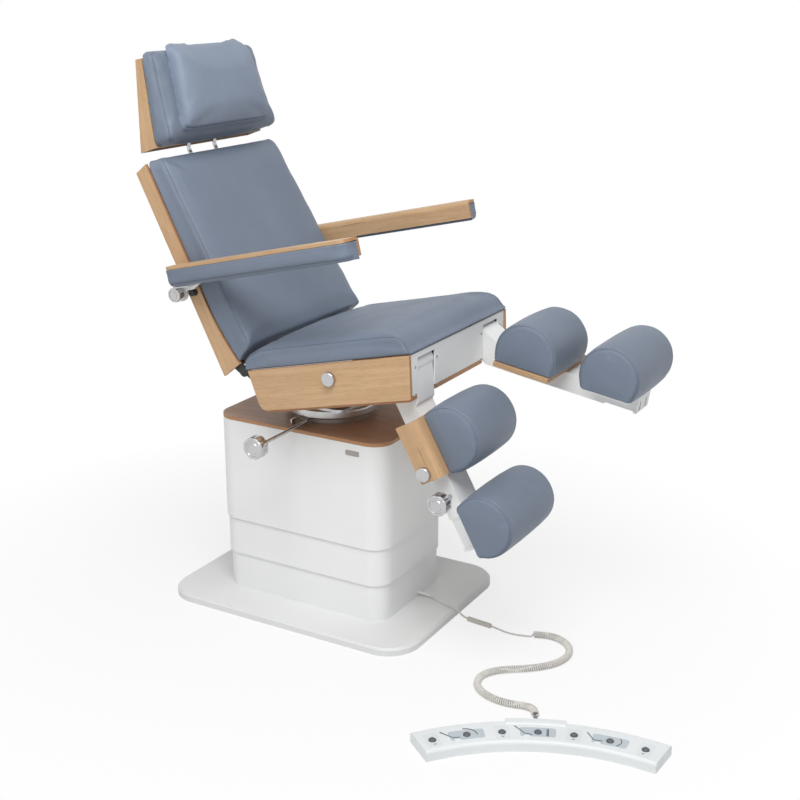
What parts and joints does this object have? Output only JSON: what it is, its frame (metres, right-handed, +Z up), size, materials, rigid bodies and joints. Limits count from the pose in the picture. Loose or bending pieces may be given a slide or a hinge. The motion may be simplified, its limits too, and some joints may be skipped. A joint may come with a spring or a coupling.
{
  "type": "podiatry chair",
  "caption": "Upholstered foot care chair on a telescopic pedestal, with a reclining back, folding armrests, separate extending leg rests and a floor pedal on a coiled cord.",
  "frame": {"origin": "on the floor under the middle of the pedestal, on the base plate's underside", "axes": "+X towards the foot end, +Y to the patient's left, +Z up"},
  "size_m": [1.6074, 1.0248, 1.5602],
  "materials": {
    "white_steel": "satin powder coat",
    "plate_paint": "satin powder coat",
    "frame_steel": "matt black paint",
    "stainless": "fine turned",
    "chrome": "polished",
    "oak": "clear matt lacquer",
    "dark_oak": "clear matt lacquer",
    "vinyl": "soft upholstery vinyl",
    "cord_grey": "matt",
    "white_plastic": "fine moulded",
    "grey_plastic": "fine moulded",
    "dark_plastic": "fine moulded"
  },
  "bodies": {
    "base": {"base_plate": "plate_paint", "lower_cover": "white_steel", "lift_column_base": "frame_steel", "cable_outlets": "dark_plastic", "pedal_cord": "cord_grey", "curly_cord": "cord_grey", "cord_connector": "grey_plastic", "cord_strain_relief": "grey_plastic", "foot_control_housing": "white_plastic"},
    "lift_middle": {"middle_cover": "white_steel", "lift_column_middle": "frame_steel"},
    "lift_top": {"outer_cover": "white_steel", "lift_column_top": "frame_steel", "pedestal_top_board": "dark_oak", "swivel_base": "stainless"},
    "swivel_lock": {"swivel_lock": "chrome"},
    "turntable": {"turntable": "stainless"},
    "seat": {"seat_side_panels": "oak", "seat_bolt_caps": "chrome", "seat_bottom_board": "oak", "seat_front_plate": "white_steel", "seat_frame": "frame_steel", "seat_cushion": "vinyl"},
    "backrest": {"backrest_side_panels": "oak", "backrest_rear_panel": "oak", "backrest_frame": "frame_steel", "backrest_cushion": "vinyl"},
    "headrest": {"headrest_shell": "oak", "headrest_cushion": "vinyl", "headrest_pillow": "vinyl", "headrest_rods": "chrome"},
    "armrest_right": {"armrest_wood_right": "oak", "armrest_pad_right": "vinyl", "arm_bracket_right": "white_steel"},
    "arm_knob_right": {"arm_knob_right": "chrome"},
    "leg_right": {"leg_arm_right": "white_steel", "leg_board_right": "oak", "leg_cap_right": "chrome", "calf_pad_right": "vinyl"},
    "leg_slide_right": {"leg_slide_right": "white_steel", "foot_pad_right": "vinyl"},
    "leg_knob_right": {"leg_knob_right": "chrome"},
    "armrest_left": {"armrest_wood_left": "oak", "armrest_pad_left": "vinyl", "arm_bracket_left": "white_steel"},
    "arm_knob_left": {"arm_knob_left": "chrome"},
    "leg_left": {"leg_arm_left": "white_steel", "leg_board_left": "oak", "leg_cap_left": "chrome", "calf_pad_left": "vinyl"},
    "leg_slide_left": {"leg_slide_left": "white_steel", "foot_pad_left": "vinyl"},
    "leg_knob_left": {"leg_knob_left": "chrome"},
    "foot_button_1": {"foot_button_1": "dark_plastic"},
    "foot_button_2": {"foot_button_2": "dark_plastic"},
    "foot_button_3": {"foot_button_3": "dark_plastic"},
    "foot_button_4": {"foot_button_4": "dark_plastic"},
    "foot_button_5": {"foot_button_5": "dark_plastic"},
    "foot_button_6": {"foot_button_6": "dark_plastic"},
    "foot_button_7": {"foot_button_7": "dark_plastic"}
  },
  "joints": [
    {"name": "lift", "type": "slide", "parent": "base", "child": "lift_top", "axis": [0, 0, 1], "range_m": [-0.18, 0.15]},
    {"name": "lift_middle_slide", "type": "slide", "parent": "base", "child": "lift_middle", "axis": [0, 0, 1], "range_m": [-0.09, 0.075]},
    {"name": "swivel", "type": "hinge", "parent": "lift_top", "child": "turntable", "pos_m": [0, 0, 0.56], "axis": [0, 0, 1], "range_deg": [-175, 175]},
    {"name": "swivel_lock_turn", "type": "hinge", "parent": "lift_top", "child": "swivel_lock", "pos_m": [0.005, -0.3, 0.5583], "axis": [0, -1, 0], "range_deg": [0, 270]},
    {"name": "seat_tilt", "type": "hinge", "parent": "turntable", "child": "seat", "pos_m": [-0.075, 0, 0.616], "axis": [0, 1, 0], "range_deg": [-7, 13]},
    {"name": "recline", "type": "hinge", "parent": "seat", "child": "backrest", "pos_m": [-0.11, 0, 0.715], "axis": [0, 1, 0], "range_deg": [-76, 0]},
    {"name": "headrest_height", "type": "slide", "parent": "backrest", "child": "headrest", "axis": [-0.4524, 0, 0.8918], "range_m": [0, 0.12]},
    {"name": "armrest_fold_right", "type": "hinge", "parent": "backrest", "child": "armrest_right", "pos_m": [-0.288, -0.288, 0.917], "axis": [0, 1, 0], "range_deg": [-100, 0]},
    {"name": "arm_knob_turn_right", "type": "hinge", "parent": "backrest", "child": "arm_knob_right", "pos_m": [-0.288, -0.3, 0.917], "axis": [0, -1, 0], "range_deg": [-270, 0]},
    {"name": "leg_lift_right", "type": "hinge", "parent": "seat", "child": "leg_right", "pos_m": [0.369, -0.182, 0.798], "axis": [0, 1, 0], "range_deg": [-70, 10]},
    {"name": "leg_length_right", "type": "slide", "parent": "leg_right", "child": "leg_slide_right", "axis": [0.4848, 0, -0.8746], "range_m": [0, 0.1]},
    {"name": "leg_knob_turn_right", "type": "hinge", "parent": "leg_right", "child": "leg_knob_right", "pos_m": [0.49898, -0.28, 0.46759], "axis": [0, -1, 0], "range_deg": [-270, 0]},
    {"name": "armrest_fold_left", "type": "hinge", "parent": "backrest", "child": "armrest_left", "pos_m": [-0.288, 0.288, 0.917], "axis": [0, 1, 0], "range_deg": [-100, 0]},
    {"name": "arm_knob_turn_left", "type": "hinge", "parent": "backrest", "child": "arm_knob_left", "pos_m": [-0.288, 0.3, 0.917], "axis": [0, 1, 0], "range_deg": [-270, 0]},
    {"name": "leg_lift_left", "type": "hinge", "parent": "seat", "child": "leg_left", "pos_m": [0.369, 0.182, 0.798], "axis": [0, 1, 0], "range_deg": [-18.2, 61.8]},
    {"name": "leg_length_left", "type": "slide", "parent": "leg_left", "child": "leg_slide_left", "axis": [0.9871, 0, -0.1599], "range_m": [0, 0.1]},
    {"name": "leg_knob_turn_left", "type": "hinge", "parent": "leg_left", "child": "leg_knob_left", "pos_m": [0.70904, 0.28, 0.69582], "axis": [0, 1, 0], "range_deg": [-270, 0]},
    {"name": "foot_button_1_press", "type": "slide", "parent": "base", "child": "foot_button_1", "axis": [0, 0, -1], "range_m": [0, 0.0025], "stiffness_N_per_m": 700},
    {"name": "foot_button_2_press", "type": "slide", "parent": "base", "child": "foot_button_2", "axis": [0, 0, -1], "range_m": [0, 0.0025], "stiffness_N_per_m": 700},
    {"name": "foot_button_3_press", "type": "slide", "parent": "base", "child": "foot_button_3", "axis": [0, 0, -1], "range_m": [0, 0.0025], "stiffness_N_per_m": 700},
    {"name": "foot_button_4_press", "type": "slide", "parent": "base", "child": "foot_button_4", "axis": [0, 0, -1], "range_m": [0, 0.0025], "stiffness_N_per_m": 700},
    {"name": "foot_button_5_press", "type": "slide", "parent": "base", "child": "foot_button_5", "axis": [0, 0, -1], "range_m": [0, 0.0025], "stiffness_N_per_m": 700},
    {"name": "foot_button_6_press", "type": "slide", "parent": "base", "child": "foot_button_6", "axis": [0, 0, -1], "range_m": [0, 0.0025], "stiffness_N_per_m": 700},
    {"name": "foot_button_7_press", "type": "slide", "parent": "base", "child": "foot_button_7", "axis": [0, 0, -1], "range_m": [0, 0.0025], "stiffness_N_per_m": 700}
  ],
  "couplings": [
    {"joint": "lift_middle_slide", "follows": "lift", "ratio": 0.5}
  ]
}
